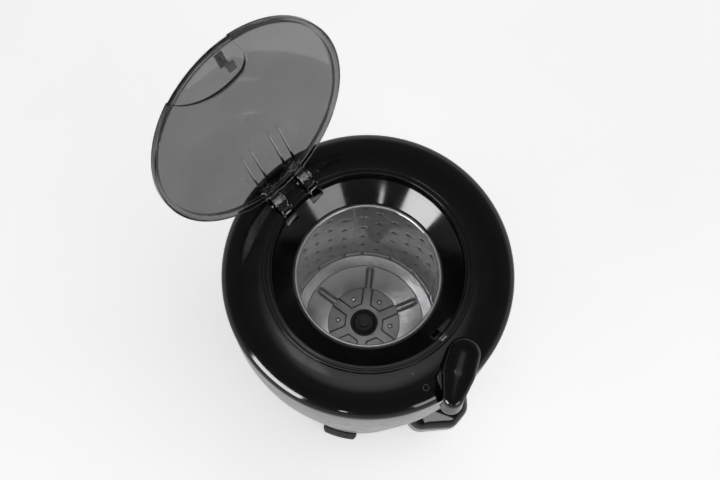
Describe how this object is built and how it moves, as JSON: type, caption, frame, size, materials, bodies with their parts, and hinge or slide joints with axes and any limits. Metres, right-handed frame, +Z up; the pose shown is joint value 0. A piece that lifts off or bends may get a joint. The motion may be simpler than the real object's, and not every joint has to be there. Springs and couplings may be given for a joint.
{
  "type": "laundry spin dryer",
  "caption": "Round top-loading laundry spin dryer: tapered casing, hinged smoked lid, swinging lock lever, perforated steel drum on a motor shaft, front drain spout.",
  "frame": {"origin": "on the drum's axis at floor level, the plane the rubber feet stand on", "axes": "+Z up along the drum's axis; -Y the front, with the lock lever, the latch and the drain spout; +Y the rear, with the lid's hinge"},
  "size_m": [0.3478, 0.4244, 0.8352],
  "materials": {
    "silver": "satin metallic grey enamel",
    "black": "high gloss black",
    "black_matte": "matt black",
    "smoke": "clear smoked polycarbonate, gloss",
    "tub_white": "natural moulded plastic",
    "rubber": "matt",
    "stainless": "bright rolled stainless",
    "steel": "plated steel",
    "screw": "zinc plated",
    "painted_dark": "black enamel",
    "castal": "die cast",
    "iron": "laminated steel",
    "copper": "varnished copper winding",
    "lining": "brake lining",
    "nylon": "natural nylon"
  },
  "bodies": {
    "cabinet": {"casing": "silver", "deck": "black", "funnel": "black", "lever_plinth": "black", "tub": "tub_white", "tub_gasket": "rubber", "drain_hose": "rubber", "spout": "black", "spout_screws": "screw", "base_pan": "black_matte", "base_screws": "screw", "foot_left": "rubber", "foot_right": "rubber", "foot_rear": "rubber", "foot_screws": "screw", "deck_screws": "screw", "hinge_pins": "steel", "catch_spring": "stainless", "lever_bush": "nylon", "start_switch": "black_matte", "brake_cable": "black_matte", "cable_clamp": "steel", "brake_pivot": "steel", "shaft_seal": "rubber", "bearing_outer_races": "steel", "stator_core": "iron", "windings": "copper", "motor_can": "painted_dark", "end_cap_upper": "castal", "end_cap_lower": "castal", "motor_bolts": "screw", "motor_carrier": "painted_dark", "rubber_buffers": "rubber", "buffer_bolts": "screw", "capacitor": "tub_white", "capacitor_clip": "steel", "terminal_box": "black_matte", "cord_gland": "black_matte"},
    "lid": {"lid": "smoke", "latch_hook": "black_matte"},
    "lever": {"lock_lever": "black", "lever_spindle": "steel", "retaining_rings": "steel"},
    "brake": {"brake_arm": "steel", "brake_lining": "lining"},
    "drum": {"drum_shell": "stainless", "drum_floor": "stainless", "hub_plate": "stainless", "hub_rivets": "stainless", "hub_cap": "black_matte", "hub_nut": "black_matte", "drum_shaft": "steel", "brake_drum": "iron", "rotor": "iron", "bearing_inner_races": "steel", "bearing_balls": "stainless"}
  },
  "joints": [
    {"name": "lid_hinge", "type": "hinge", "parent": "cabinet", "child": "lid", "pos_m": [0, 0.1327, 0.5918], "axis": [1, 0, 0], "range_deg": [0, 108.3]},
    {"name": "lever_swing", "type": "hinge", "parent": "cabinet", "child": "lever", "pos_m": [-0.028, -0.152, 0.6], "axis": [0, 0, 1], "range_deg": [0, 40]},
    {"name": "drum_spin", "type": "hinge", "parent": "cabinet", "child": "drum", "pos_m": [0, 0, 0.184], "axis": [0, 0, 1], "continuous": true},
    {"name": "brake_swing", "type": "hinge", "parent": "cabinet", "child": "brake", "pos_m": [0.00032, -0.05882, 0.199], "axis": [0, 0, 1], "range_deg": [0, 5]}
  ],
  "couplings": [
    {"joint": "brake_swing", "follows": "lever_swing", "ratio": 0.125}
  ]
}
